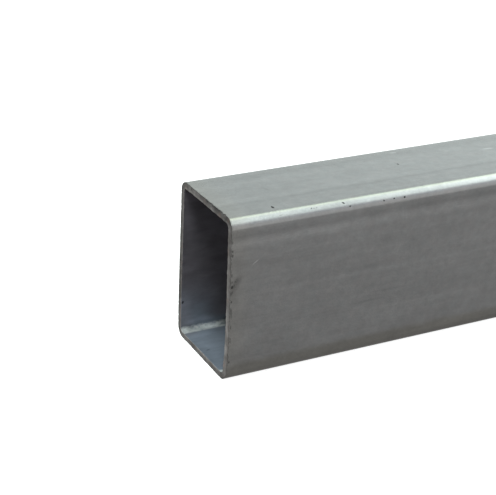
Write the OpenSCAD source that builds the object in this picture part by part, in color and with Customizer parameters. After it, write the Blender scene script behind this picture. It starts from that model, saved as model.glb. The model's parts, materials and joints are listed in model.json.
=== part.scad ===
// Rectangular steel tube: a cold-formed hollow section, sawn square at both ends.
// The tube lies along X on one of its narrow faces. The origin is under its middle, on the floor.

/* [Section] */
// Outside height, across the two narrow faces
tube_h = 80; // [40:1:200]
// Outside width, across the two wide faces
tube_w = 50; // [30:1:120]
// Wall thickness, the same all round
wall_t = 3; // [1.5:0.1:6]
// Inside radius of the four bent corners
bend_r = 2; // [1:0.1:6]

/* [Length] */
// Length between the two sawn ends
tube_l = 1000; // [100:10:6000]

/* [Hidden] */
// The bend keeps the wall's thickness, so both radii of a corner share one centre
corner_r = bend_r + wall_t;
bore_w = tube_w - 2 * wall_t;
bore_h = tube_h - 2 * wall_t;
$fn = 64;

// Rectangle centred on the origin, with its four corners rounded to radius r
module rounded_rectangle(w, h, r) {
    square([w - 2 * r, h], center = true);
    square([w, h - 2 * r], center = true);
    for (x = [-1, 1], y = [-1, 1])
        translate([x * (w / 2 - r), y * (h / 2 - r)])
            circle(r = r);
}

// The rolled profile: a wall of even thickness round a clear bore
module section() {
    difference() {
        rounded_rectangle(tube_w, tube_h, corner_r);
        rounded_rectangle(bore_w, bore_h, bend_r);
    }
}

// The whole piece of stock, its profile standing on the floor and drawn out along X
module tube() {
    color("lightsteelblue")
        translate([0, 0, tube_h / 2])
            rotate([90, 0, 90])
                linear_extrude(height = tube_l, center = true)
                    section();
}

tube();
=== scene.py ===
"""Looks of a length of rectangular steel tube: mill skin, bore, sawn ends, studio and camera."""

import json
import logging
import math
from dataclasses import dataclass
from enum import Enum
from functools import partial, reduce
from typing import Union

import bpy
import numpy as np
from mathutils import Euler, Matrix, Vector

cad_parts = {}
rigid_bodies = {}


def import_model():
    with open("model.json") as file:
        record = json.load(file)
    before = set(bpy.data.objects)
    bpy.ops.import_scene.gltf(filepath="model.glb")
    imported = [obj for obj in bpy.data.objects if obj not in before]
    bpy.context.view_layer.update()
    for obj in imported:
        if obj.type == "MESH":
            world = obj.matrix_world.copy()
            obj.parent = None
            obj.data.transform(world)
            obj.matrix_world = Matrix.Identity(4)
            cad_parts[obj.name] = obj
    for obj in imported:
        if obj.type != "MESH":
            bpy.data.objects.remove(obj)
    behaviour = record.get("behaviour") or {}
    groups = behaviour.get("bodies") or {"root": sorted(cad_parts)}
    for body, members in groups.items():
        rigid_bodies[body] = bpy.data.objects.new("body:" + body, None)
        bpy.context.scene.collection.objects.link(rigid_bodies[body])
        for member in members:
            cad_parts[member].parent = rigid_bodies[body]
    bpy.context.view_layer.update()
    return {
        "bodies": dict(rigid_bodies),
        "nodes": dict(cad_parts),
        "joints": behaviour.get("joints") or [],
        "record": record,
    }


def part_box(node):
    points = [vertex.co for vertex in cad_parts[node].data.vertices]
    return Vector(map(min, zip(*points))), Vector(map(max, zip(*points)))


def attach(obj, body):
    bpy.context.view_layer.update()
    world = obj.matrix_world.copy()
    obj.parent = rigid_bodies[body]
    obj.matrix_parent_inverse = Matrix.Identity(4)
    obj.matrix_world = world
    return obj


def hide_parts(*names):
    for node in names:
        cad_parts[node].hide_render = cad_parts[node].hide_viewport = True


MM = 0.001
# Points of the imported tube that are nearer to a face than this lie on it
TOUCH = 0.01 * MM
IMAGE_WIDTH_PX = 496
FULL_TURN = 360.0
UPRIGHT = 90.0
# Middle of the tube and a length past both its ends, for marks that run all along it, in millimetres
MIDDLE_MM = 500.0
ENDLESS_MM = 4000.0

Socket = bpy.types.NodeSocket
Feed = Union[Socket, float, int, tuple, str]
Inputs = dict[Union[str, int], Feed]
Given = bpy.types.bpy_prop_collection
Values = dict[str, Union[float, int, bpy.types.Material]]
Span = tuple[float, float]
Triple = tuple[float, float, float]

# What a ramp gives before and after its span
RISE: Span = (0.0, 1.0)
FALL: Span = (1.0, 0.0)

log = logging.getLogger("tube")


class Stored(Enum):
    """Numbers that the sweep stores on the mesh."""

    WAY_ROUND = "way_round"
    WALL_DEPTH = "wall_depth"
    FROM_CUT = "from_cut"


class Wiring:
    """A node tree with short ways to add nodes and link them."""

    # The Mix node's sockets by number: its factor and two colours, and the colour that it gives
    MIX_INPUTS = (0, 6, 7)
    MIX_OUTPUT = 2
    # Middle of a noise's range, and the finer layers of the noise that moves coordinates
    NOISE_MIDDLE = 0.5
    WOBBLE_DETAIL = 2.0

    def __init__(self, tree: bpy.types.NodeTree) -> None:
        """Start from an empty tree."""
        self.tree = tree
        tree.nodes.clear()

    def add(self, kind: str, inputs: Inputs | None = None, **settings: Feed) -> bpy.types.Node:
        """Add one node.

        Args:
            kind: Blender's type name of the node.
            inputs: what goes into its sockets, by socket name or number.
            settings: the node's own properties.

        Returns:
            The new node.
        """
        node = self.tree.nodes.new(kind)
        for name, value in settings.items():
            setattr(node, name, value)
        for key, value in (inputs or {}).items():
            self.feed(node.inputs[key], value)
        return node

    def first(self, kind: str, inputs: Inputs | None = None, **settings: Feed) -> Socket:
        """Add one node and give its first output."""
        return self.add(kind, inputs, **settings).outputs[0]

    def feed(self, socket: Socket, value: Feed) -> None:
        """Link a socket, or set it where the value is a constant.

        Args:
            socket: the socket that is fed.
            value: another node's output, or a constant.
        """
        if isinstance(value, Socket):
            self.tree.links.new(value, socket)
        else:
            socket.default_value = value

    def math(self, operation: str, *terms: Feed) -> Socket:
        """Work out a number from one, two or three others."""
        return self.first("ShaderNodeMath", dict(enumerate(terms)), operation=operation)

    def product(self, *terms: Feed) -> Socket:
        """Multiply two or more numbers."""
        return reduce(partial(self.math, "MULTIPLY"), terms)

    def rest(self, share: Feed) -> Socket:
        """Find what a share leaves of 1."""
        return self.math("SUBTRACT", 1.0, share)

    def split(self, vector: Feed) -> tuple[Socket, ...]:
        """Split a vector into X, Y and Z."""
        return tuple(self.add("ShaderNodeSeparateXYZ", {0: vector}).outputs)

    def join(self, x: Feed = 0.0, y: Feed = 0.0, z: Feed = 0.0) -> Socket:
        """Join three numbers into a vector."""
        return self.first("ShaderNodeCombineXYZ", {0: x, 1: y, 2: z})

    def scale(self, vector: Feed, factor: Feed) -> Socket:
        """Multiply a vector or colour by a number."""
        return self.first("ShaderNodeVectorMath", {0: vector, "Scale": factor}, operation="SCALE")

    def plus(self, one: Feed, other: Feed) -> Socket:
        """Add two vectors."""
        return self.first("ShaderNodeVectorMath", {0: one, 1: other}, operation="ADD")

    def ramp(self, value: Feed, span: Span, to: Span = RISE) -> Socket:
        """Ease a number from one range into another.

        Args:
            value: the number.
            span: where the ramp starts and ends.
            to: the results up to its start and from its end on.

        Returns:
            The socket that holds the result.
        """
        inputs = {"Value": value, "From Min": span[0], "From Max": span[1], "To Min": to[0], "To Max": to[1]}
        return self.add("ShaderNodeMapRange", inputs, interpolation_type="SMOOTHSTEP").outputs["Result"]

    def blend(self, factor: Feed, one: Feed, other: Feed) -> Socket:
        """Mix two colours.

        Args:
            factor: the share of the other colour.
            one: a colour or its socket.
            other: the colour that is mixed into it, or its socket.

        Returns:
            The socket that holds the mixed colour.
        """
        node = self.add("ShaderNodeMix", data_type="RGBA")
        for number, value in zip(self.MIX_INPUTS, (factor, one, other)):
            self.feed(node.inputs[number], (*value, 1.0) if isinstance(value, tuple) else value)
        return node.outputs[self.MIX_OUTPUT]

    def wobble(self, coords: Feed, wave: float, reach: float) -> Socket:
        """Push coordinates about by noise.

        Args:
            coords: the coordinates, in metres.
            wave: the noise's size, in metres.
            reach: how far a point may move, in metres.

        Returns:
            The socket that holds the moved coordinates.
        """
        inputs = {"Vector": coords, "Scale": 1.0 / wave, "Detail": self.WOBBLE_DETAIL}
        push = self.add("ShaderNodeTexNoise", inputs).outputs["Color"]
        both_ways = self.plus(push, 3 * (-self.NOISE_MIDDLE,))
        return self.plus(coords, self.scale(both_ways, reach / self.NOISE_MIDDLE))

    def attribute(self, stored: Stored) -> Socket:
        """Read a stored number in a material."""
        return self.add("ShaderNodeAttribute", attribute_name=stored.value).outputs["Fac"]

    def recall(self, stored: Stored) -> Socket:
        """Read a stored number in a tree of Geometry Nodes."""
        return self.first("GeometryNodeInputNamedAttribute", {"Name": stored.value}, data_type="FLOAT")

    def keep(self, geometry: Feed, stored: Stored, value: Feed) -> Socket:
        """Store a number on the points of a geometry."""
        inputs = {"Geometry": geometry, "Name": stored.value, "Value": value}
        return self.first("GeometryNodeStoreNamedAttribute", inputs, data_type="FLOAT", domain="POINT")


def node_material(name: str) -> tuple[bpy.types.Material, Wiring]:
    """Make a material.

    Args:
        name: its name.

    Returns:
        The material and its tree, which is empty.
    """
    material = bpy.data.materials.new(name)
    material.use_nodes = True
    return material, Wiring(material.node_tree)


def put(name: str, data: bpy.types.ID) -> bpy.types.Object:
    """Put an object in the scene.

    Args:
        name: its name.
        data: its mesh, lamp or camera.

    Returns:
        The object.
    """
    item = bpy.data.objects.new(name, data)
    bpy.context.scene.collection.objects.link(item)
    return item


@dataclass(frozen=True)
class TubeSizes:
    """The rolled profile and length, in metres, as the frame gives them."""

    length: float
    width: float
    height: float
    wall: float
    corner: float

    @classmethod
    def from_frame(cls, frame: dict) -> "TubeSizes":
        """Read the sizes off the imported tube.

        Args:
            frame: the loaded frame, whose record has a mount in the middle of the top wall at the near end.

        Returns:
            The sizes.
        """
        low, high = (Vector(corner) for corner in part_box("tube"))
        span = high - low
        end = next(mount for mount in frame["record"]["mounts"] if mount["name"] == "near_end")
        flat = [v.co.y for v in frame["nodes"]["tube"].data.vertices if high.z - v.co.z < TOUCH]
        return cls(span.x, span.y, span.z, 2.0 * (high.z - end["pos_m"][2]), high.y - max(flat))

    @property
    def bend_radius(self) -> float:
        """The inside radius of a corner, which shares its centre with the outside."""
        return self.corner - self.wall


@dataclass(frozen=True)
class Grain:
    """Noise that is stretched along the axes.

    Waves are its sizes along X, Y and Z in millimetres, and detail and roughness are the number and the
    strength of its finer layers. Share is how far it swings a tone to either side.
    """

    waves: Triple
    detail: float = 2.0
    roughness: float = 0.5
    share: float = 0.0

    def noise(self, w: Wiring, coords: Feed) -> Socket:
        """Add the noise to a material.

        Args:
            w: the material's tree.
            coords: Object coordinates.

        Returns:
            The socket that holds the noise, from 0 to 1.
        """
        scale = tuple(1.0 / (wave * MM) for wave in self.waves)
        mapped = w.first("ShaderNodeMapping", {"Vector": coords, "Scale": scale})
        inputs = {"Vector": mapped, "Scale": 1.0, "Detail": self.detail, "Roughness": self.roughness}
        return w.add("ShaderNodeTexNoise", inputs).outputs["Fac"]

    def swing(self, w: Wiring, noise: Feed) -> Socket:
        """Turn the noise into a factor that swings by the share on either side of 1."""
        return w.math("MULTIPLY_ADD", noise, 2.0 * self.share, 1.0 - self.share)


class MarkKind(Enum):
    """What a mark does to the tone, how sharp its edge is and how much it dulls the gloss."""

    # Darker marks are real dirt on some faces and painted shade on others; lighter ones are a real sheen on
    # some faces and painted light, highlights and reflections on others
    STAIN_AND_PAINTED_SHADE = (-0.14, 0.0, 0.0)
    SHEEN_AND_PAINTED_LIGHT = (0.15, 0.0, 0.0)
    GRIME_AND_PAINTED_SHADE = (-0.50, 0.20, 0.05)
    PIT = (-0.92, 0.55, 0.25)
    SCRATCH = (0.60, 0.40, 0.0)

    def __init__(self, gain: float, core: float, dulling: float) -> None:
        """Keep the three numbers by name.

        Args:
            gain: the share by which the tone changes.
            core: the share of the mark's radius that is fully toned.
            dulling: what the mark adds to the roughness.
        """
        self.gain = gain
        self.core = core
        self.dulling = dulling


class Face(Enum):
    """The face that a mark lies on."""

    TOP = "top"
    FRONT = "front"
    CORNER = "top front corner"
    BORE_BACK = "back wall of the bore"
    BORE_FLOOR = "floor of the bore"
    END = "near sawn end"


@dataclass(frozen=True)
class Mark:
    """One mark on a face, in millimetres and degrees.

    Its place is the distance from the near end, and then Y on a level face, the height on an upright one or
    the angle from the top round the corner. On the sawn end it is Y and the height. Its size is its length
    and its breadth.
    """

    kind: MarkKind
    face: Face
    at: Span
    size: Span
    turn: float = 0.0
    strength: float = 1.0
    depth: float = 1.5

    def pose(self, sizes: TubeSizes) -> tuple[Vector, Euler]:
        """Find where the mark lies.

        Args:
            sizes: the tube's sizes.

        Returns:
            The mark's centre, and the turn that lays its length along the face.
        """
        along, across = self.at
        end = -sizes.length / 2
        x = end + along * MM
        level = across * MM
        side = sizes.width / 2
        spin = Matrix.Rotation(math.radians(self.turn), 3, "Z")
        if self.face is Face.END:
            upright = Matrix(((0, 0, 1), (1, 0, 0), (0, 1, 0)))
            return Vector((end, along * MM, level)), (upright @ spin).to_euler()
        arc = math.radians({Face.TOP: 0.0, Face.BORE_FLOOR: 0.0, Face.CORNER: across}.get(self.face, UPRIGHT))
        centre = {
            Face.TOP: (x, level, sizes.height),
            Face.FRONT: (x, -side, level),
            Face.CORNER: (x, -side + sizes.corner * (1.0 - math.sin(arc)),
                          sizes.height - sizes.corner * (1.0 - math.cos(arc))),
            Face.BORE_BACK: (x, side - sizes.wall, level),
            Face.BORE_FLOOR: (x, level, sizes.wall),
        }[self.face]
        return Vector(centre), (Matrix.Rotation(arc, 3, "X") @ spin).to_euler()

    def mask(self, w: Wiring, coords: Feed, sizes: TubeSizes) -> Socket:
        """Shade the mark as a soft-edged lens.

        Args:
            w: the material's tree.
            coords: Object coordinates.
            sizes: the tube's sizes.

        Returns:
            The socket that is 1 within the mark and 0 off it.
        """
        centre, turn = self.pose(sizes)
        length, breadth = self.size
        radii = (length * MM / 2, breadth * MM / 2, self.depth * MM)
        inputs = {"Vector": coords, "Location": tuple(centre), "Rotation": tuple(turn), "Scale": radii}
        local = w.first("ShaderNodeMapping", inputs, vector_type="TEXTURE")
        off = w.add("ShaderNodeVectorMath", {0: local}, operation="LENGTH").outputs["Value"]
        return w.ramp(off, (self.kind.core, 1.0), FALL)


def lengthwise(kind: MarkKind, face: Face, across: float, breadth: float, strength: float) -> Mark:
    """Make a mark that runs along the whole tube."""
    return Mark(kind, face, at=(MIDDLE_MM, across), size=(ENDLESS_MM, breadth), strength=strength)


# Short ways to make a mark of each kind, in their order above
stain_and_painted_shade, sheen_and_painted_light, grime_and_painted_shade, pit, scratch = (partial(Mark, kind) for kind in MarkKind)


SKIN_MARKS = (
    # Bands along the top and the front, most of them left by the rolls
    lengthwise(MarkKind.STAIN_AND_PAINTED_SHADE, Face.TOP, across=15.7, breadth=10.0, strength=0.5),
    lengthwise(MarkKind.SHEEN_AND_PAINTED_LIGHT, Face.TOP, across=9.5, breadth=9.0, strength=0.15),
    lengthwise(MarkKind.STAIN_AND_PAINTED_SHADE, Face.TOP, across=-10.2, breadth=4.4, strength=0.75),
    lengthwise(MarkKind.STAIN_AND_PAINTED_SHADE, Face.TOP, across=-14.5, breadth=17.0, strength=0.45),
    # Painted reflection of the front's slight bow under the top corner: a dark band, then a light line
    lengthwise(MarkKind.STAIN_AND_PAINTED_SHADE, Face.FRONT, across=71.9, breadth=6.0, strength=0.75),
    lengthwise(MarkKind.SHEEN_AND_PAINTED_LIGHT, Face.FRONT, across=68.0, breadth=7.6, strength=1.05),
    lengthwise(MarkKind.STAIN_AND_PAINTED_SHADE, Face.FRONT, across=45.7, breadth=7.0, strength=0.38),
    lengthwise(MarkKind.STAIN_AND_PAINTED_SHADE, Face.FRONT, across=57.0, breadth=6.0, strength=0.3),
    lengthwise(MarkKind.SHEEN_AND_PAINTED_LIGHT, Face.FRONT, across=42.6, breadth=3.4, strength=0.18),
    lengthwise(MarkKind.STAIN_AND_PAINTED_SHADE, Face.FRONT, across=28.5, breadth=17.0, strength=0.36),
    lengthwise(MarkKind.STAIN_AND_PAINTED_SHADE, Face.FRONT, across=13.0, breadth=14.0, strength=0.3),
    # Scuffs, scratches and pits on the top
    stain_and_painted_shade(Face.TOP, at=(28.0, -1.0), size=(70.0, 15.0), strength=0.28),
    scratch(Face.TOP, at=(156.5, 5.5), size=(9.0, 2.0), turn=-5.0, strength=0.5),
    scratch(Face.TOP, at=(109.0, 17.7), size=(5.0, 2.4), strength=0.5),
    scratch(Face.TOP, at=(30.2, 0.0), size=(7.2, 0.6), turn=-68.0, strength=-0.45),
    scratch(Face.TOP, at=(36.7, -18.6), size=(4.0, 0.45), turn=-60.0, strength=-0.3),
    pit(Face.TOP, at=(23.0, -18.5), size=(1.6, 3.0)),
    pit(Face.TOP, at=(103.0, 4.2), size=(1.2, 2.2), strength=0.8),
    grime_and_painted_shade(Face.TOP, at=(6.4, 15.9), size=(2.6, 2.0), strength=0.25),
    # Specks and nicks along the bright corner, and painted highlight on it
    pit(Face.CORNER, at=(40.0, 41.0), size=(1.3, 0.6), turn=40.0, strength=0.7),
    pit(Face.CORNER, at=(41.2, 44.0), size=(1.0, 0.5), turn=50.0, strength=0.6),
    pit(Face.CORNER, at=(42.4, 43.0), size=(1.0, 0.5), turn=50.0, strength=0.5),
    pit(Face.CORNER, at=(56.3, 42.5), size=(2.0, 0.8), turn=-35.0, strength=0.9),
    pit(Face.CORNER, at=(59.3, 65.0), size=(1.1, 1.0), strength=0.9),
    pit(Face.CORNER, at=(77.1, 66.5), size=(1.1, 0.9), strength=0.9),
    pit(Face.CORNER, at=(82.7, 64.0), size=(1.0, 0.9), strength=0.9),
    pit(Face.CORNER, at=(88.2, 66.5), size=(1.3, 1.1)),
    stain_and_painted_shade(Face.CORNER, at=(55.0, 45.0), size=(40.0, 6.0), strength=0.8),
    # Painted highlight: lighter patches on the corner's bright band
    sheen_and_painted_light(Face.CORNER, at=(150.0, 45.0), size=(90.0, 7.0), strength=0.75),
    sheen_and_painted_light(Face.CORNER, at=(14.0, 40.0), size=(44.0, 6.0), strength=0.45),
    sheen_and_painted_light(Face.CORNER, at=(9.0, 57.0), size=(32.0, 3.4)),
    grime_and_painted_shade(Face.CORNER, at=(24.5, 50.0), size=(3.4, 1.0), turn=10.0, strength=0.35),
    grime_and_painted_shade(Face.CORNER, at=(12.0, 62.0), size=(5.0, 1.4), strength=0.25),
    # Scratch, smudge and dull patches on the front, with some painted reflection and painted shade
    scratch(Face.FRONT, at=(12.5, 58.3), size=(5.0, 0.55), turn=34.0),
    scratch(Face.FRONT, at=(16.8, 61.6), size=(6.0, 0.6), turn=42.0, strength=0.12),
    # Painted reflection: the light line under the top corner, ragged by the cut
    sheen_and_painted_light(Face.FRONT, at=(19.5, 65.0), size=(12.0, 2.6), turn=3.0, strength=0.6),
    stain_and_painted_shade(Face.FRONT, at=(2.8, 48.4), size=(15.0, 6.0), turn=62.0, strength=2.4),
    stain_and_painted_shade(Face.FRONT, at=(2.4, 42.0), size=(7.0, 9.0), strength=0.9),
    stain_and_painted_shade(Face.FRONT, at=(4.5, 51.5), size=(14.0, 11.0), strength=0.6),
    grime_and_painted_shade(Face.FRONT, at=(3.4, 50.8), size=(3.4, 1.8), turn=40.0, strength=0.45),
    grime_and_painted_shade(Face.FRONT, at=(1.1, 50.3), size=(1.8, 1.8), strength=0.8),
    grime_and_painted_shade(Face.FRONT, at=(2.7, 50.4), size=(1.5, 1.3), strength=0.5),
    grime_and_painted_shade(Face.FRONT, at=(2.2, 48.4), size=(2.8, 1.6), turn=80.0, strength=0.7),
    grime_and_painted_shade(Face.FRONT, at=(1.3, 45.2), size=(3.4, 1.5), turn=75.0, strength=0.7),
    stain_and_painted_shade(Face.FRONT, at=(4.5, 59.0), size=(16.0, 11.0)),
    # Painted reflection: the light line under the top corner, along the near end
    sheen_and_painted_light(Face.FRONT, at=(25.0, 68.2), size=(130.0, 8.0), strength=0.6),
    stain_and_painted_shade(Face.FRONT, at=(72.0, 45.0), size=(30.0, 4.0), turn=1.0, strength=0.55),
    stain_and_painted_shade(Face.FRONT, at=(12.0, 13.0), size=(80.0, 20.0), strength=0.85),
    stain_and_painted_shade(Face.FRONT, at=(58.0, 14.5), size=(14.0, 4.0), turn=6.0, strength=0.6),
    stain_and_painted_shade(Face.FRONT, at=(73.0, 27.4), size=(28.0, 1.8), turn=2.0, strength=0.8),
    stain_and_painted_shade(Face.FRONT, at=(83.0, 31.0), size=(26.0, 1.8), turn=-3.0, strength=0.6),
    stain_and_painted_shade(Face.FRONT, at=(49.0, 47.0), size=(16.0, 6.0), turn=-10.0, strength=0.4),
    grime_and_painted_shade(Face.FRONT, at=(101.0, 6.9), size=(2.6, 1.0), turn=40.0, strength=0.3),
    sheen_and_painted_light(Face.FRONT, at=(119.4, 67.9), size=(3.6, 1.4), turn=10.0),
    stain_and_painted_shade(Face.FRONT, at=(51.0, 22.0), size=(30.0, 24.0), strength=0.55),
    stain_and_painted_shade(Face.FRONT, at=(83.0, 58.0), size=(24.0, 22.0), strength=0.35),
    sheen_and_painted_light(Face.FRONT, at=(118.0, 46.0), size=(90.0, 30.0), strength=0.6),
    # Less of the painted shade along the foot here
    sheen_and_painted_light(Face.FRONT, at=(124.0, 6.0), size=(60.0, 9.0), strength=0.8),
    # Dirt in the broken edge of the cut
    pit(Face.FRONT, at=(0.55, 69.6), size=(1.1, 1.8), strength=0.5),
    pit(Face.FRONT, at=(0.7, 65.4), size=(1.2, 1.6), strength=0.6),
    pit(Face.FRONT, at=(0.85, 63.2), size=(1.4, 2.0), strength=0.65),
    pit(Face.FRONT, at=(0.9, 53.7), size=(1.2, 2.4), strength=0.5),
    pit(Face.FRONT, at=(1.25, 48.0), size=(1.4, 2.2), strength=0.8),
    pit(Face.FRONT, at=(1.35, 40.7), size=(1.1, 1.6), strength=0.65),
    pit(Face.FRONT, at=(1.5, 35.0), size=(0.9, 6.5), turn=2.0, strength=0.5),
    pit(Face.FRONT, at=(1.5, 28.0), size=(0.8, 3.0), strength=0.5),
    pit(Face.FRONT, at=(1.5, 21.6), size=(0.8, 4.0), strength=0.5),
    pit(Face.FRONT, at=(1.35, 10.3), size=(1.4, 1.6), strength=0.5),
)

BORE_MARKS = (
    # Tones at the mouth of the bore, mostly painted: lighter marks for light that falls in at the end, darker
    # ones for shade, the dark mark at the far end of the bright bend for the top wall's shadow; the pit and
    # the small dark smear on the floor are real marks
    pit(Face.BORE_BACK, at=(0.5, 18.0), size=(1.3, 2.0), strength=0.9),
    grime_and_painted_shade(Face.BORE_FLOOR, at=(3.7, 0.3), size=(3.8, 1.6), turn=20.0, strength=0.8),
    sheen_and_painted_light(Face.BORE_FLOOR, at=(4.0, 8.0), size=(9.0, 4.0), turn=12.0, strength=0.9),
    stain_and_painted_shade(Face.BORE_FLOOR, at=(0.0, -2.0), size=(11.0, 40.0)),
    sheen_and_painted_light(Face.BORE_FLOOR, at=(20.0, 6.0), size=(32.0, 40.0), strength=1.3),
    stain_and_painted_shade(Face.BORE_BACK, at=(8.0, 60.0), size=(14.0, 40.0), strength=1.5),
    sheen_and_painted_light(Face.BORE_BACK, at=(5.0, 9.0), size=(14.0, 14.0), strength=1.6),
    stain_and_painted_shade(Face.BORE_BACK, at=(11.0, 20.0), size=(12.0, 16.0), strength=1.2),
    sheen_and_painted_light(Face.BORE_BACK, at=(27.0, 60.0), size=(30.0, 64.0), strength=2.6),
    stain_and_painted_shade(Face.BORE_BACK, at=(4.0, 3.0), size=(14.0, 8.0), strength=1.4, depth=6.0),
    sheen_and_painted_light(Face.BORE_BACK, at=(15.0, 3.0), size=(11.0, 5.0), strength=2.4, depth=6.0),
    grime_and_painted_shade(Face.BORE_BACK, at=(25.5, 3.0), size=(16.0, 8.0), strength=1.15, depth=6.0),
    sheen_and_painted_light(Face.BORE_BACK, at=(1.6, 3.6), size=(5.0, 3.0), strength=3.0, depth=6.0),
    sheen_and_painted_light(Face.BORE_BACK, at=(1.0, 15.0), size=(12.0, 28.0), strength=3.4),
    sheen_and_painted_light(Face.BORE_BACK, at=(13.5, 7.2), size=(14.0, 6.0), strength=3.4),
    sheen_and_painted_light(Face.BORE_BACK, at=(5.0, 6.4), size=(11.0, 5.0), strength=2.6),
    sheen_and_painted_light(Face.BORE_FLOOR, at=(8.0, 15.5), size=(20.0, 9.0), strength=1.6),
)

END_MARKS = (
    # Dirt and nicks on the near cut, with painted light: lighter marks brighten the front wall's end and
    # paint glints on the inner edges
    grime_and_painted_shade(Face.END, at=(-9.0, 79.6), size=(26.0, 2.4), strength=0.65),
    grime_and_painted_shade(Face.END, at=(-11.0, 78.4), size=(40.0, 8.0), strength=0.55),
    grime_and_painted_shade(Face.END, at=(-19.0, 77.5), size=(16.0, 9.0), strength=0.5),
    grime_and_painted_shade(Face.END, at=(-24.8, 58.0), size=(1.2, 16.0), strength=0.15),
    grime_and_painted_shade(Face.END, at=(24.5, 46.0), size=(10.0, 112.0), strength=0.76),
    sheen_and_painted_light(Face.END, at=(-23.3, 22.0), size=(6.0, 44.0), strength=4.4),
    sheen_and_painted_light(Face.END, at=(-23.3, 22.0), size=(6.0, 8.0), strength=1.8),
    sheen_and_painted_light(Face.END, at=(-5.0, 77.6), size=(3.0, 1.6), strength=3.0),
    pit(Face.END, at=(15.0, 79.0), size=(2.4, 1.6), strength=0.3),
    pit(Face.END, at=(-1.0, 79.4), size=(2.2, 1.4), strength=0.45),
    sheen_and_painted_light(Face.END, at=(-4.0, 2.4), size=(36.0, 3.0), strength=2.4),
    scratch(Face.END, at=(-2.6, 2.8), size=(2.4, 1.0), strength=0.7),
    scratch(Face.END, at=(3.0, 2.9), size=(4.0, 0.7), strength=0.3),
    grime_and_painted_shade(Face.END, at=(22.0, 78.0), size=(9.0, 9.0), strength=0.4),
    grime_and_painted_shade(Face.END, at=(-24.2, 77.0), size=(5.0, 9.0), strength=0.3),
    pit(Face.END, at=(-20.4, 3.0), size=(1.8, 1.8), strength=0.6),
)


@dataclass(frozen=True)
class Finish:
    """What the three finishes share: a name, marks, and the way to lay these over a tone and shade it."""

    name: str
    marks: tuple[Mark, ...]
    roughness: float
    metal: float = 1.0
    darkest: float = 0.05
    # Wave and reach of the noise that frays the edges of sharp marks and of soft ones
    sharp_fray: Span = (1.2 * MM, 0.25 * MM)
    soft_fray: Span = (14.0 * MM, 0.8 * MM)

    def start(self) -> tuple[bpy.types.Material, Wiring, Socket]:
        """Begin the material.

        Returns:
            The material, its tree and its Object coordinates.
        """
        material, w = node_material(self.name)
        return material, w, w.add("ShaderNodeTexCoord").outputs["Object"]

    def lay_marks(self, w: Wiring, coords: Feed, sizes: TubeSizes, tone: Feed,
                  rough: Feed) -> tuple[Feed, Feed]:
        """Lay every mark over a tone and a roughness.

        Args:
            w: the material's tree.
            coords: Object coordinates.
            sizes: the tube's sizes.
            tone: the factor on the colour before the marks.
            rough: the roughness before the marks.

        Returns:
            Both with the marks added.
        """
        sharp = w.wobble(coords, *self.sharp_fray)
        soft = w.wobble(coords, *self.soft_fray)
        for mark in self.marks:
            mask = mark.mask(w, sharp if mark.kind.core else soft, sizes)
            tone = w.math("MULTIPLY", tone, w.math("MULTIPLY_ADD", mask, mark.kind.gain * mark.strength, 1.0))
            rough = w.math("MULTIPLY_ADD", mask, mark.kind.dulling * mark.strength, rough)
        return tone, rough

    def shade(self, w: Wiring, colour: Feed, tone: Feed, rough: Feed, relief: Feed, height: float) -> None:
        """Make the shader and link it to the material's output.

        Args:
            w: the material's tree.
            colour: the steel's colour.
            tone: the factor on it.
            rough: the roughness.
            relief: what the bump follows.
            height: how high the bump is where the relief is 1, in metres.
        """
        bump = w.first("ShaderNodeBump", {"Strength": 1.0, "Distance": height, "Height": relief})
        shader = w.first("ShaderNodeBsdfPrincipled", {
            "Base Color": w.scale(colour, w.math("MAXIMUM", tone, self.darkest)),
            "Metallic": self.metal, "Roughness": rough, "Normal": bump})
        w.add("ShaderNodeOutputMaterial", {"Surface": shader})


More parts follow.
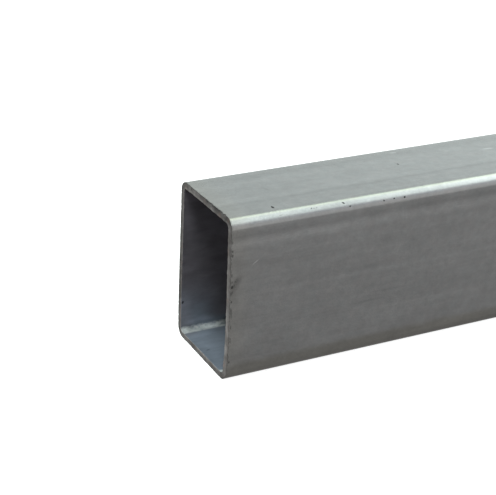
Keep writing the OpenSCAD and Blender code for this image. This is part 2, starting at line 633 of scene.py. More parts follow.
@dataclass(frozen=True)
class MillSkin(Finish):
    """Mill finish of the rolled outside: satin grey steel with soft lengthwise streaks."""

    name: str = "mill_skin"
    marks: tuple[Mark, ...] = SKIN_MARKS
    roughness: float = 0.25
    rough_swing: float = 0.08
    cool: Triple = (0.366, 0.374, 0.374)
    warm: Triple = (0.377, 0.373, 0.371)
    brown: Triple = (0.386, 0.376, 0.350)
    streak: Grain = Grain((260.0, 6.0, 6.0), detail=3.0, share=0.06)
    hairline: Grain = Grain((70.0, 0.9, 0.9), share=0.05)
    cloud: Grain = Grain((16.0, 10.0, 10.0), detail=3.0, roughness=0.6, share=0.12)
    mottle: Grain = Grain((3.4, 3.0, 3.0), share=0.11)
    speckle: Grain = Grain((0.9, 0.8, 0.8), roughness=0.6, share=0.11)
    speckle_height: float = 0.022 * MM
    dent: Grain = Grain((9.0, 6.0, 6.0))
    dent_height: float = 0.045 * MM
    tint: Grain = Grain((5.0, 4.0, 4.0), detail=3.0, roughness=0.7)
    tint_edge: Span = (0.25, 0.75)
    # A strip along the foot painted darker, as shade near the floor, and browner
    foot_edge: Span = (6.45 * MM, 10.75 * MM)
    foot_ragged: float = 3.0 * MM
    foot_shade: float = 0.27
    # Dirt on the last millimetre before a cut, and a brown tint that reaches further
    dirt: Grain = Grain((2.0, 2.2, 2.2))
    dirt_edge: Span = (0.45, 0.62)
    dirt_run: Span = (0.1 * MM, 0.9 * MM)
    dirt_shade: float = 0.30
    brown_run: Span = (0.0, 15.0 * MM)
    brown_share: float = 0.55

    def material(self, sizes: TubeSizes) -> bpy.types.Material:
        """Build the finish as a node material.

        Args:
            sizes: the tube's sizes.

        Returns:
            The material.
        """
        material, w, coords = self.start()
        _, _, z = w.split(coords)
        grains = (self.streak, self.hairline, self.cloud, self.mottle, self.speckle)
        noises = [grain.noise(w, coords) for grain in grains]
        _, _, clouds, _, speckles = noises
        tone = w.product(*(grain.swing(w, noise) for grain, noise in zip(grains, noises)))

        # Painted shade: the skin is darker near the floor
        lowered = w.math("SUBTRACT", z, self.foot_ragged / 2)
        above_foot = w.ramp(w.math("MULTIPLY_ADD", clouds, self.foot_ragged, lowered), self.foot_edge)
        foot = w.math("MULTIPLY_ADD", above_foot, self.foot_shade, 1.0 - self.foot_shade)
        from_cut = w.attribute(Stored.FROM_CUT)
        patches = w.ramp(self.dirt.noise(w, coords), self.dirt_edge)
        dirt = w.product(patches, w.ramp(from_cut, self.dirt_run, (self.dirt_shade, 0.0)))
        tone = w.product(tone, foot, w.rest(dirt))
        rough = w.math("MULTIPLY_ADD", clouds, self.rough_swing, self.roughness - self.rough_swing / 2)
        tone, rough = self.lay_marks(w, coords, sizes, tone, rough)

        colour = w.blend(w.ramp(self.tint.noise(w, coords), self.tint_edge), self.cool, self.warm)
        colour = w.blend(above_foot, self.brown, colour)
        colour = w.blend(w.ramp(from_cut, self.brown_run, (self.brown_share, 0.0)), colour, self.brown)
        # Two noises of their own heights make the relief, so it is in metres already
        fine_relief = w.math("MULTIPLY", speckles, self.speckle_height)
        relief = w.math("MULTIPLY_ADD", self.dent.noise(w, coords), self.dent_height, fine_relief)
        self.shade(w, colour, tone, rough, relief, height=1.0)
        return material


@dataclass(frozen=True)
class BoreSkin(Finish):
    """Inside of the tube: the same steel, left duller and bluer, with painted light near the open end and
    bends painted bright.
    """

    name: str = "bore_skin"
    marks: tuple[Mark, ...] = BORE_MARKS
    roughness: float = 0.5
    rough_swing: float = 0.12
    metal: float = 0.35
    dull: Triple = (0.087, 0.080, 0.090)
    pale: Triple = (0.112, 0.103, 0.118)
    blue: Triple = (0.133, 0.151, 0.183)
    bend: Triple = (0.38, 0.394, 0.394)
    cloud: Grain = Grain((16.0, 7.0, 7.0), detail=3.0)
    cloud_edge: Span = (0.35, 0.65)
    smear: Grain = Grain((7.0, 2.6, 2.6), detail=3.0, roughness=0.65, share=0.30)
    smear_height: float = 0.05 * MM
    # The low part of the bore is bluer, and painted paler as light that falls in at the end; it fades along
    # the bore as painted shade
    blue_edge: Span = (12.0 * MM, 40.0 * MM)
    blue_ragged: float = 16.0 * MM
    blue_run: Span = (12.0 * MM, 36.0 * MM)
    blue_far: float = 0.4
    # It is lost deep in the bore above the floor, as painted shade, and partly on the back wall at the mouth
    deep_run: Span = (8.0 * MM, 22.0 * MM)
    deep_edge: Span = (5.0 * MM, 9.0 * MM)
    deep_loss: float = 0.85
    mouth_run: Span = (1.0 * MM, 10.0 * MM)
    mouth_edge: Span = (10.0 * MM, 20.0 * MM)
    mouth_side: Span = (12.0 * MM, 20.0 * MM)
    mouth_loss: float = 0.55
    # The two bends at the foot are stretched paler, in smears, and painted brighter still as a highlight
    stretch: Grain = Grain((3.0, 1.6, 1.6), detail=3.0, roughness=0.65)
    stretch_edge: Span = (0.3, 0.58)
    stretch_least: float = 0.35
    bend_ragged: float = 2.4 * MM
    bend_up: Span = (0.7 * MM, 2.0 * MM)
    bend_in: Span = (4.2 * MM, 2.94 * MM)

    def material(self, sizes: TubeSizes) -> bpy.types.Material:
        """Build the finish as a node material.

        Args:
            sizes: the tube's sizes.

        Returns:
            The material.
        """
        material, w, coords = self.start()
        _, y, z = w.split(coords)
        clouds = self.cloud.noise(w, coords)
        colour = w.blend(w.ramp(clouds, self.cloud_edge), self.dull, self.pale)
        from_cut = w.attribute(Stored.FROM_CUT)
        low = w.ramp(w.math("MULTIPLY_ADD", clouds, self.blue_ragged, z), self.blue_edge, FALL)
        deep = w.product(w.ramp(from_cut, self.deep_run), w.ramp(z, self.deep_edge), self.deep_loss)
        mouth = w.product(w.ramp(from_cut, self.mouth_run, FALL), w.ramp(z, self.mouth_edge, FALL),
                          w.ramp(y, self.mouth_side), self.mouth_loss)
        fading = w.ramp(from_cut, self.blue_run, (1.0, self.blue_far))
        colour = w.blend(w.product(low, fading, w.rest(deep), w.rest(mouth)), colour, self.blue)

        side = sizes.width / 2 - sizes.wall
        uneven = self.stretch.noise(w, coords)
        ragged = w.math("MULTIPLY_ADD", uneven, -self.bend_ragged, self.bend_ragged / 2 - sizes.wall)
        off_y = w.ramp(w.math("ABSOLUTE", y), (side - self.bend_in[0], side - self.bend_in[1]))
        off_z = w.ramp(w.math("ADD", ragged, z), self.bend_up, FALL)
        bright = w.product(off_y, off_z, w.ramp(uneven, self.stretch_edge, (self.stretch_least, 1.0)))
        colour = w.blend(bright, colour, self.bend)

        smears = self.smear.noise(w, coords)
        rough = w.math("MULTIPLY_ADD", smears, self.rough_swing, self.roughness - self.rough_swing / 2)
        tone, rough = self.lay_marks(w, coords, sizes, self.smear.swing(w, smears), rough)
        self.shade(w, colour, tone, rough, smears, self.smear_height)
        return material


@dataclass(frozen=True)
class SawnSteel(Finish):
    """Bare steel of the saw cut, dark and slightly brown, with a painted glint on its inner edge and its
    outer edge darker, partly by dirt and partly by painted shade.
    """

    name: str = "sawn_steel"
    marks: tuple[Mark, ...] = END_MARKS
    roughness: float = 0.45
    pale: Triple = (0.374, 0.361, 0.349)
    dull: Triple = (0.224, 0.213, 0.203)
    rust: Triple = (0.350, 0.277, 0.247)
    saw: Grain = Grain((3.0, 1.6, 0.45), share=0.2)
    saw_height: float = 0.05 * MM
    patch: Grain = Grain((6.0, 5.0, 5.0), detail=3.0, roughness=0.6)
    patch_edge: Span = (0.35, 0.65)
    rusting: Grain = Grain((4.0, 4.0, 4.0))
    rust_edge: Span = (0.55, 0.72)
    rust_most: float = 0.7
    # Tones of the two edges, and the shares of the wall's depth over which they fade: the outer edge darker,
    # partly dirt and partly painted shade, and the inner edge brighter, a painted glint on the burr
    outer_dirt_and_painted_shade: float = 0.62
    outer_depth: Span = (0.0, 0.3)
    inner_painted_glint: float = 1.3
    inner_depth: Span = (0.6, 0.9)

    def material(self, sizes: TubeSizes) -> bpy.types.Material:
        """Build the finish as a node material.

        Args:
            sizes: the tube's sizes.

        Returns:
            The material.
        """
        material, w, coords = self.start()
        colour = w.blend(w.ramp(self.patch.noise(w, coords), self.patch_edge), self.dull, self.pale)
        rusty = w.ramp(self.rusting.noise(w, coords), self.rust_edge, (0.0, self.rust_most))
        colour = w.blend(rusty, colour, self.rust)
        saw = self.saw.noise(w, coords)
        depth = w.attribute(Stored.WALL_DEPTH)
        tone = w.product(self.saw.swing(w, saw), w.ramp(depth, self.inner_depth, (1.0, self.inner_painted_glint)),
                         w.ramp(depth, self.outer_depth, (self.outer_dirt_and_painted_shade, 1.0)))
        tone, rough = self.lay_marks(w, coords, sizes, tone, self.roughness)
        self.shade(w, colour, tone, rough, saw, self.saw_height)
        return material


@dataclass(frozen=True)
class SawCut:
    """Relief of both saw cuts: a frayed outer edge, a burr on the inner one and the drift of the blade.

    A wave is the size of the noise that breaks an edge, and an edge is the part of its range that shows. A
    depth is in shares of the wall, and a reach is how far along the tube the relief fades.
    """

    noise_detail: float = 3.0
    noise_roughness: float = 0.6
    fray: float = 0.75 * MM
    fray_reach: float = 2.4 * MM
    fray_wave: float = 1.5 * MM
    fray_edge: Span = (0.45, 0.70)
    fray_depth: Span = (0.0, 0.4)
    fray_least: float = 0.2
    burr: float = 0.30 * MM
    burr_reach: float = 0.6 * MM
    burr_wave: float = 2.2 * MM
    burr_edge: Span = (0.35, 0.75)
    burr_depth: Span = (0.8, 1.0)
    burr_seed: float = 11.0
    # The saw leaves through the front of the top, less at its corner, and down the front
    skin_depth: Span = (1.0 * MM, 3.0 * MM)
    leaving_y: Span = (-4.0 * MM, 6.0 * MM)
    leaving_back: float = 0.25
    corner_y: Span = (-24.0 * MM, -14.0 * MM)
    corner_share: float = 0.3
    front_share: float = 0.35
    # The cut stands out at the back, bows in on the lower half of the front and falls back at the foot
    drift_reach: float = 8.0 * MM
    drift_back: float = 0.33 * MM
    drift_front: float = 0.75 * MM
    drift_foot: float = 0.48 * MM
    foot_power: float = 8.0
    foot_span: Span = (0.0, 0.9)
    # t * t * (1 - t) is at most 4 / 27 for t from 0 to 1
    bow_gain: float = 27.0 / 4.0

    def inputs(self) -> dict[str, float]:
        """Name the sizes that the sweep is given."""
        return {"Fray": self.fray, "Fray Reach": self.fray_reach, "Burr": self.burr,
                "Burr Reach": self.burr_reach, "Drift Back": self.drift_back, "Drift Front": self.drift_front,
                "Drift Foot": self.drift_foot, "Drift Reach": self.drift_reach}

    def work(self, w: Wiring, given: Given, swept: Feed, sizes: TubeSizes) -> Socket:
        """Break the outer edge of both cuts, raise a burr on the inner edge and let the blade drift.

        Args:
            w: the tree.
            given: its inputs.
            swept: the plain tube.
            sizes: the tube's sizes.

        Returns:
            The tube with worked ends, and with the distance from the nearer cut stored on it.
        """
        x, y, z = w.split(w.first("GeometryNodeInputPosition"))
        side = w.math("SIGN", x)
        to_end = w.math("SUBTRACT", w.math("MULTIPLY", given["Length"], 0.5), w.math("ABSOLUTE", x))
        depth = w.recall(Stored.WALL_DEPTH)
        round_edge = w.join(side, y, z)

        def broken(wave: float, seed: float, edge: Span) -> Socket:
            """Break up an edge by noise that differs at each end."""
            inputs = {"Vector": round_edge, "W": w.math("ADD", given["Seed"], seed), "Scale": 1.0 / wave,
                      "Detail": self.noise_detail, "Roughness": self.noise_roughness}
            return w.ramp(w.first("ShaderNodeTexNoise", inputs, noise_dimensions="4D"), edge)

        def fading(reach: Feed) -> Socket:
            """Fall from 1 at the cut to 0 along the tube."""
            return w.math("EXPONENT", w.math("MULTIPLY", w.math("DIVIDE", to_end, reach), -1.0))

        leaving = w.ramp(self.leaving(w, y, z, sizes), (0.0, 1.0), (self.fray_least, 1.0))
        bite = w.product(broken(self.fray_wave, 0.0, self.fray_edge), given["Fray"], leaving,
                         w.ramp(depth, self.fray_depth, FALL), fading(given["Fray Reach"]))
        lip = w.product(broken(self.burr_wave, self.burr_seed, self.burr_edge), given["Burr"],
                        w.ramp(depth, self.burr_depth), fading(given["Burr Reach"]))
        drift = w.math("MULTIPLY", self.drift(w, given, y, z), fading(given["Drift Reach"]))
        out = w.math("SUBTRACT", drift, bite)
        push = w.plus(w.scale(w.first("GeometryNodeInputNormal"), lip), w.join(w.math("MULTIPLY", side, out)))
        measured = w.keep(swept, Stored.FROM_CUT, to_end)
        return w.first("GeometryNodeSetPosition", {"Geometry": measured, "Offset": push})

    def leaving(self, w: Wiring, y: Feed, z: Feed, sizes: TubeSizes) -> Socket:
        """Find where the saw left the tube.

        Args:
            w: the tree.
            y: the place across the tube.
            z: the place above the floor.
            sizes: the tube's sizes.

        Returns:
            The socket that is 1 where the fray is full and 0 where it is least.
        """
        near, far = self.skin_depth
        top = w.ramp(z, (sizes.height - far, sizes.height - near))
        front = w.ramp(y, (near - sizes.width / 2, far - sizes.width / 2), FALL)
        over_top = w.product(top, w.ramp(y, self.leaving_y, (1.0, self.leaving_back)),
                             w.ramp(y, self.corner_y, (self.corner_share, 1.0)))
        return w.math("MAXIMUM", over_top, w.math("MULTIPLY", front, self.front_share))

    def drift(self, w: Wiring, given: Given, y: Feed, z: Feed) -> Socket:
        """Find how far the cut stands out of square.

        Args:
            w: the tree.
            given: its inputs.
            y: the place across the tube.
            z: the place above the floor.

        Returns:
            The socket that holds the distance, outwards from the tube.
        """
        to_back = w.math("ADD", w.math("DIVIDE", y, given["Width"]), 0.5)
        to_foot = w.rest(w.math("DIVIDE", z, given["Height"]))
        bow = w.product(to_foot, to_foot, w.rest(to_foot), self.bow_gain)
        at_front = w.product(w.rest(to_back), bow, given["Drift Front"])
        at_foot = w.product(w.math("POWER", to_foot, self.foot_power), w.ramp(to_back, self.foot_span),
                            given["Drift Foot"])
        at_back = w.math("MULTIPLY", to_back, given["Drift Back"])
        return w.math("SUBTRACT", at_back, w.math("ADD", at_front, at_foot))


@dataclass(frozen=True)
class BakeMap:
    """Places of the finishes in the map that they are baked to, and the length that gets half its width."""

    name: str = "OFBake"
    marked_length: float = 170.0 * MM
    run: Triple = (0.006, 0.5, 0.994)
    skin: Span = (0.008, 0.540)
    bore: Span = (0.552, 0.900)
    near_cut: Span = (0.915, 0.945)
    far_cut: Span = (0.960, 0.990)


@dataclass
class TubeStock:
    """The tube: a slice of wall swept round the section, with worked saw cuts at both ends."""

    sizes: TubeSizes
    skin: MillSkin = MillSkin()
    bore: BoreSkin = BoreSkin()
    cut: SawnSteel = SawnSteel()
    saw: SawCut = SawCut()
    bake: BakeMap = BakeMap()
    name: str = "tube_stock"
    spacing: float = 0.32 * MM
    arc_points: int = 48
    rows_along: int = 36
    rows_across: int = 9
    crowding: float = 3.0
    edge_crowding: float = 1.8
    # Share of the wall's depth within which a face belongs to the skin or the bore
    depth_slack: float = 0.001
    seed: int = 7

    SOCKET_KINDS = {float: "NodeSocketFloat", int: "NodeSocketInt", bpy.types.Material: "NodeSocketMaterial"}
    CORNERS_OF_QUAD = 4
    HALF_WAY = 0.5

    def inputs(self) -> Values:
        """Name what the sweep is given, and make its materials.

        Returns:
            The values of the tree's inputs by their labels.
        """
        profile = {"Length": self.sizes.length, "Width": self.sizes.width, "Height": self.sizes.height,
                   "Wall": self.sizes.wall, "Bend Radius": self.sizes.bend_radius}
        mesh = {"Spacing": self.spacing, "Crowding": self.crowding, "Edge Crowding": self.edge_crowding,
                "Rows Along": self.rows_along, "Rows Across": self.rows_across, "Seed": self.seed}
        finishes = {"Skin": self.skin, "Bore": self.bore, "Cut": self.cut}
        materials = {label: finish.material(self.sizes) for label, finish in finishes.items()}
        return profile | mesh | self.saw.inputs() | materials

    def sweep_tree(self, values: Values) -> bpy.types.NodeTree:
        """Build the Geometry Nodes tree that sweeps the wall's slice round the section.

        Args:
            values: what it will be given.

        Returns:
            The tree.
        """
        tree = bpy.data.node_groups.new("swept_wall", "GeometryNodeTree")
        for label, value in values.items():
            tree.interface.new_socket(label, in_out="INPUT", socket_type=self.SOCKET_KINDS[type(value)])
        tree.interface.new_socket("Geometry", in_out="OUTPUT", socket_type="NodeSocketGeometry")
        w = Wiring(tree)
        given = w.add("NodeGroupInput").outputs

        curves = {"Curve": self.wall_path(w, given), "Profile Curve": self.wall_slice(w, given)}
        swept = w.first("GeometryNodeFlipFaces", {"Mesh": w.first("GeometryNodeCurveToMesh", curves)})
        swept = w.first("GeometryNodeTransform", {
            "Geometry": swept, "Rotation": (math.pi / 2, 0.0, math.pi / 2),
            "Translation": w.join(z=w.math("MULTIPLY", given["Height"], 0.5))})
        sawn = self.saw.work(w, given, swept, self.sizes)

        # Finishes by how deep in the wall a face lies
        smooth = w.first("GeometryNodeSetShadeSmooth", {"Geometry": sawn})
        depth = w.recall(Stored.WALL_DEPTH)
        dressed = w.first("GeometryNodeRealizeInstances", {"Geometry": smooth})
        dressed = w.first("GeometryNodeSetMaterial", {"Geometry": dressed, "Material": given["Cut"]})
        chosen = {"Bore": w.math("GREATER_THAN", depth, 1.0 - self.depth_slack),
                  "Skin": w.math("LESS_THAN", depth, self.depth_slack)}
        for label, faces in chosen.items():
            inputs = {"Geometry": dressed, "Material": given[label], "Selection": faces}
            dressed = w.first("GeometryNodeSetMaterial", inputs)
        w.add("NodeGroupOutput", {"Geometry": dressed})
        return tree

    def wall_path(self, w: Wiring, given: Given) -> Socket:
        """Draw the path round the middle of the wall.

        Args:
            w: the tree.
            given: its inputs.

        Returns:
            The closed curve, with its share of the way round stored on it.
        """
        radius = w.math("MULTIPLY_ADD", given["Wall"], 0.5, given["Bend Radius"])
        middle = {label: w.math("SUBTRACT", given[label], given["Wall"]) for label in ("Width", "Height")}
        path = w.first("GeometryNodeCurvePrimitiveQuadrilateral", middle)
        bends = {"Curve": path, "Radius": radius, "Count": self.arc_points}
        path = w.first("GeometryNodeFilletCurve", bends, mode="POLY")
        even = {"Curve": path, "Length": given["Spacing"]}
        path = w.first("GeometryNodeResampleCurve", even, mode="LENGTH")
        path = w.first("GeometryNodeSetCurveNormal", {"Curve": path}, mode="Z_UP")
        return w.keep(path, Stored.WAY_ROUND, w.first("GeometryNodeSplineParameter"))

    def wall_slice(self, w: Wiring, given: Given) -> Socket:
        """Draw the lengthwise slice of the wall, its points crowded at the ends and at the edges of the cut.

        Args:
            w: the tree.
            given: its inputs.

        Returns:
            The closed curve, with its depth in the wall stored on it, from 0 outside to 1 in the bore.
        """
        grid = w.first("GeometryNodeMeshGrid", {
            "Size X": 2.0, "Size Y": 2.0,
            "Vertices X": given["Rows Across"], "Vertices Y": given["Rows Along"]})
        across, along, _ = w.split(w.first("GeometryNodeInputPosition"))

        def crowded(place: Feed, power: Feed) -> Socket:
            """Move places between -1 and 1 towards those two ends."""
            away = w.math("POWER", w.rest(w.math("ABSOLUTE", place)), power)
            return w.math("MULTIPLY", w.rest(away), w.math("SIGN", place))

        through = crowded(across, given["Edge Crowding"])
        flat = w.keep(grid, Stored.WALL_DEPTH, w.math("MULTIPLY_ADD", through, -0.5, 0.5))
        spot = w.join(w.product(through, given["Wall"], 0.5),
                      w.product(crowded(along, given["Crowding"]), given["Length"], 0.5))
        placed = w.first("GeometryNodeSetPosition", {"Geometry": flat, "Position": spot})
        # An edge on the rim has one face beside it, and any other has two
        rim = w.math("LESS_THAN", w.first("GeometryNodeInputMeshEdgeNeighbors"), 2)
        return w.first("GeometryNodeMeshToCurve", {"Mesh": placed, "Selection": rim})

    def unwrap(self, mesh: bpy.types.Mesh) -> None:
        """Lay out the map that the finishes are baked to, with most room for the near end and its marks.

        Args:
            mesh: the swept tube, all of quads, with its way round and its depth in the wall stored.
        """
        vertex = np.empty(len(mesh.loops), dtype=np.int32)
        mesh.loops.foreach_get("vertex_index", vertex)
        place = np.empty(3 * len(mesh.vertices), dtype=np.float32)
        mesh.vertices.foreach_get("co", place)
        along = place.reshape(-1, 3)[vertex, 0] + self.sizes.length / 2
        way, depth = (np.empty(len(mesh.vertices), dtype=np.float32) for _ in range(2))
        mesh.attributes[Stored.WAY_ROUND.value].data.foreach_get("value", way)
        mesh.attributes[Stored.WALL_DEPTH.value].data.foreach_get("value", depth)
        depth = depth[vertex]

        # The last quads of each ring reach back to its first points
        rings = way[vertex].reshape(-1, self.CORNERS_OF_QUAD)
        torn = np.ptp(rings, axis=1) > self.HALF_WAY
        rings[torn] += rings[torn] < self.HALF_WAY
        way = rings.ravel()

        finish = np.empty(len(mesh.polygons), dtype=np.int32)
        mesh.polygons.foreach_get("material_index", finish)
        finish = np.repeat(finish, self.CORNERS_OF_QUAD)
        slots = {material.name: number for number, material in enumerate(mesh.materials)}
        sawn = finish == slots[self.cut.name]
        near = along < self.sizes.length / 2
        first, _, last = self.bake.run
        run = np.interp(along, (0.0, self.bake.marked_length, self.sizes.length), self.bake.run)
        u = np.where(sawn, way * (last - first) + first, run)
        v = np.empty_like(u)
        for chosen, (low, high), share in (
                (finish == slots[self.skin.name], self.bake.skin, way),
                (finish == slots[self.bore.name], self.bake.bore, way),
                (sawn & near, self.bake.near_cut, depth),
                (sawn & ~near, self.bake.far_cut, depth)):
            v[chosen] = low + share[chosen] * (high - low)
        layer = mesh.uv_layers.new(name=self.bake.name)
        layer.uv.foreach_set("vector", np.stack((u, v), axis=1).astype(np.float32).ravel())

    def build(self) -> bpy.types.Object:
        """Sweep the tube, turn it into a plain mesh and dress it.

        Returns:
            The finished piece, riding on the frame in place of the tube's node.
        """
        values = self.inputs()
        tree = self.sweep_tree(values)
        raw = put(f"{self.name}_sweep", bpy.data.meshes.new(f"{self.name}_sweep"))
        modifier = raw.modifiers.new("sweep", "NODES")
        modifier.node_group = tree
        for item in tree.interface.items_tree:
            if item.in_out == "INPUT":
                modifier[item.identifier] = values[item.name]
        evaluated = raw.evaluated_get(bpy.context.evaluated_depsgraph_get())
        mesh = bpy.data.meshes.new_from_object(evaluated)
        mesh.name = self.name
        bpy.data.objects.remove(raw)
        self.unwrap(mesh)
        piece = put(self.name, mesh)
        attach(piece, "root")
        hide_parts("tube")
        return piece


class Gel(Enum):
    """Tint of a part of the tent."""

    GREY = (1.0, 1.0, 0.995)
    COOL = (0.918, 1.0, 0.985)
    LIME = (0.880, 1.0, 0.850)
    SKY = (0.905, 1.0, 0.985)
    BLUE = (0.970, 1.0, 1.050)


def in_radians(degrees: Span) -> Span:
    """Turn a span of degrees into radians."""
    return math.radians(degrees[0]), math.radians(degrees[1])


@dataclass(frozen=True)
class Studio:
    """A plain pale floor under a soft light tent."""

    floor_size: float = 12.0
    floor_colour: Triple = (0.35, 0.35, 0.35)
    floor_glow: float = 0.85
    # Brightness and tint of the tent by its angle from overhead, in degrees towards the front
    tent: tuple[tuple[float, float, Gel], ...] = (
        (-180.0, 0.30, Gel.GREY), (-118.0, 0.36, Gel.GREY), (-100.0, 0.42, Gel.GREY), (-84.0, 0.99, Gel.COOL),
        (-20.0, 0.99, Gel.COOL), (-14.0, 2.75, Gel.LIME), (-3.0, 2.65, Gel.LIME), (8.0, 2.15, Gel.SKY),
        (28.0, 1.92, Gel.SKY), (45.0, 1.70, Gel.SKY), (62.0, 0.78, Gel.BLUE), (85.0, 0.74, Gel.GREY),
        (106.0, 0.74, Gel.GREY), (114.5, 0.36, Gel.GREY), (140.0, 0.35, Gel.GREY), (180.0, 0.30, Gel.GREY))
    # Factor on the upper half of the tent by how far along the tube it stands, and that half's soft edge
    sides: tuple[Span, ...] = (
        (-1.0, 1.0), (0.05, 0.9), (0.44, 0.91), (0.52, 0.98), (0.60, 1.09), (1.0, 1.3))
    horizon: Span = (-0.1, 0.1)
    # How much steeper that factor runs on the front of the tent, and the edges of that front in degrees
    front_slope: Span = (0.90, 1.22)
    front_slope_span: Span = (0.45, 0.575)
    front_top: Span = (-8.0, 8.0)
    front_foot: Span = (44.0, 62.0)
    # A grey panel over the bright top of the tent, with a window on either side along the tube
    panel_light: float = 1.05
    window_near: Span = (0.24, 0.39)
    window_far: Span = (0.68, 0.80)
    panel_back: Span = (-24.0, -16.0)
    panel_front: Span = (14.0, 24.0)
    # A long lamp that shines down into the near end and isn't mirrored in the steel
    lamp_gel: Gel = Gel.SKY
    lamp_lean: float = 15.7
    lamp_distance: float = 1.5
    lamp_size: Span = (0.40, 2.9)
    lamp_front: float = 0.45
    lamp_power: float = 41.0

    def build(self, near_end: Vector) -> None:
        """Make the floor and the light.

        Args:
            near_end: the middle of the near end's bottom edge.
        """
        self.lay_floor()
        self.light_tent()
        self.hang_lamp(near_end)

    def lay_floor(self) -> None:
        """Lay the floor, which the camera sees and the steel doesn't mirror."""
        half = self.floor_size / 2
        mesh = bpy.data.meshes.new("floor")
        corners = [(-half, -half, 0), (half, -half, 0), (half, half, 0), (-half, half, 0)]
        mesh.from_pydata(corners, [], [(0, 1, 2, 3)])
        floor = put("floor", mesh)
        material, w = node_material("floor")
        matt = w.first("ShaderNodeBsdfDiffuse", {"Color": (*self.floor_colour, 1.0)})
        glow = w.first("ShaderNodeEmission", {"Strength": self.floor_glow})
        both = w.first("ShaderNodeAddShader", {0: matt, 1: glow})
        w.add("ShaderNodeOutputMaterial", {"Surface": both})
        mesh.materials.append(material)
        floor.visible_glossy = False
        floor.visible_diffuse = False

    def hang_lamp(self, near_end: Vector) -> None:
        """Hang the lamp across the tube, a little outside its near end.

        Args:
            near_end: the middle of the near end's bottom edge.
        """
        data = bpy.data.lights.new("end_lamp", "AREA")
        data.shape = "RECTANGLE"
        data.size, data.size_y = self.lamp_size
        data.energy = self.lamp_power
        data.color = self.lamp_gel.value
        lamp = put("end_lamp", data)
        lean = math.radians(self.lamp_lean)
        lamp.location = near_end + Vector((-math.sin(lean), 0.0, math.cos(lean))) * self.lamp_distance
        lamp.location.y -= self.lamp_front
        lamp.rotation_euler = (0.0, -lean, 0.0)
        lamp.visible_glossy = False

    @staticmethod
    def steps(w: Wiring, place: Feed, stops: list[tuple[float, Triple]]) -> Socket:
        """Add a colour ramp.

        Args:
            w: the tree.
            place: the number that it reads, from 0 to 1.
            stops: its places and colours.

        Returns:
            The socket that holds the colour.
        """
        ramp = w.add("ShaderNodeValToRGB", {"Fac": place})
        elements = ramp.color_ramp.elements
        while len(elements) < len(stops):
            elements.new(0.5)
        for element, (position, colour) in zip(elements, stops):
            element.position = position
            element.color = (*colour, 1.0)
        return ramp.outputs[0]

    def light_tent(self) -> None:
        """Light the world by the angle from overhead, measured across the tube."""
        world = bpy.data.worlds.new("tent")
        bpy.context.scene.world = world
        world.use_nodes = True
        w = Wiring(world.node_tree)
        x, y, z = w.split(w.add("ShaderNodeTexCoord").outputs["Generated"])
        angle = w.math("ARCTAN2", w.math("MULTIPLY", y, -1.0), z)
        top = max(light for _, light, _ in self.tent)
        strength = w.math("MULTIPLY", self.tent_share(w, x, z, angle), top)
        colour = self.tent_colour(w, x, angle, top)
        light = w.first("ShaderNodeBackground", {"Color": colour, "Strength": strength})
        w.add("ShaderNodeOutputWorld", {"Surface": light})

    def tent_colour(self, w: Wiring, x: Feed, angle: Feed, top: float) -> Socket:
        """Colour the tent by its angle, with the grey panel over its bright top.

        Args:
            w: the world's tree.
            x: how far along the tube a part of the tent stands, from -1 to 1.
            angle: its angle from overhead, in radians.
            top: the tent's greatest brightness.

        Returns:
            The socket that holds the colour, in shares of that brightness.
        """
        stops = [(degrees / FULL_TURN + 0.5, tuple(light / top * tint for tint in gel.value))
                 for degrees, light, gel in self.tent]
        colour = self.steps(w, w.math("MULTIPLY_ADD", angle, 0.5 / math.pi, 0.5), stops)
        out = w.math("ABSOLUTE", x)
        window = w.product(w.ramp(out, self.window_near), w.ramp(out, self.window_far, FALL))
        panel = w.product(w.rest(window), w.ramp(angle, in_radians(self.panel_back)),
                          w.ramp(angle, in_radians(self.panel_front), FALL))
        return w.blend(panel, colour, 3 * (self.panel_light / top,))

    def tent_share(self, w: Wiring, x: Feed, z: Feed, angle: Feed) -> Socket:
        """Brighten the upper half of the tent along the tube, most steeply at the front.

        Args:
            w: the world's tree.
            x: how far along the tube a part of the tent stands, from -1 to 1.
            z: its height, from -1 to 1.
            angle: its angle from overhead, in radians.

        Returns:
            The socket that holds the factor on the brightness.
        """
        most = max(share for _, share in self.sides)
        stops = [(place * 0.5 + 0.5, 3 * (share / most,)) for place, share in self.sides]
        sides = self.steps(w, w.math("MULTIPLY_ADD", x, 0.5, 0.5), stops)
        above = w.ramp(z, self.horizon)
        share = w.math("MULTIPLY_ADD", above, w.math("MULTIPLY_ADD", sides, most, -1.0), 1.0)
        frontal = w.product(above, w.ramp(angle, in_radians(self.front_top)),
                            w.ramp(angle, in_radians(self.front_foot), FALL))
        steeper = w.math("SUBTRACT", w.ramp(x, self.front_slope_span, self.front_slope), 1.0)
        return w.math("MULTIPLY", share, w.math("MULTIPLY_ADD", frontal, steeper, 1.0))


@dataclass(frozen=True)
class Viewpoint:
    """The camera, placed from the tube's near end and turned as the photograph was taken."""

    from_end: Triple = (-0.2586, -0.5095, 0.3275)
    heading: float = 28.842
    dip: float = 25.30
    roll: float = 2.93
    focal_px: float = 1413.8
    sensor_mm: float = 36.0

    def build(self, near_end: Vector) -> bpy.types.Object:
        """Make the camera.

        Args:
            near_end: the middle of the near end's bottom edge.

        Returns:
            The camera's object.
        """
        data = bpy.data.cameras.new("camera")
        data.sensor_fit = "HORIZONTAL"
        data.sensor_width = self.sensor_mm
        data.lens = self.focal_px / IMAGE_WIDTH_PX * self.sensor_mm
        camera = put("camera", data)
        turn = Euler((math.radians(UPRIGHT - self.dip), 0.0, math.radians(-self.heading)), "XYZ").to_matrix()
        turn = turn @ Matrix.Rotation(math.radians(self.roll), 3, "Z")
        camera.matrix_world = Matrix.Translation(near_end + Vector(self.from_end)) @ turn.to_4x4()
        bpy.context.scene.camera = camera
        return camera


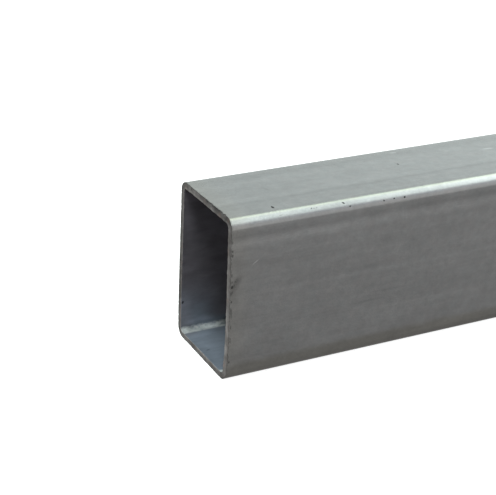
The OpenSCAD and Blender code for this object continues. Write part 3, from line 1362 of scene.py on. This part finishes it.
def main() -> None:
    """Build the camera, the tube and the studio round the frame."""
    logging.basicConfig(level=logging.INFO, format="%(message)s")
    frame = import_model()
    sizes = TubeSizes.from_frame(frame)
    log.info("sizes: %s", sizes)
    near_end = Vector((-sizes.length / 2, 0.0, 0.0))
    camera = Viewpoint().build(near_end)
    log.info("%s: %.1f mm lens", camera.name, camera.data.lens)
    bpy.context.scene.view_settings.view_transform = "Standard"
    Studio().build(near_end)
    piece = TubeStock(sizes).build()
    log.info("%s: %d faces", piece.name, len(piece.data.polygons))


if __name__ == "__main__":
    main()
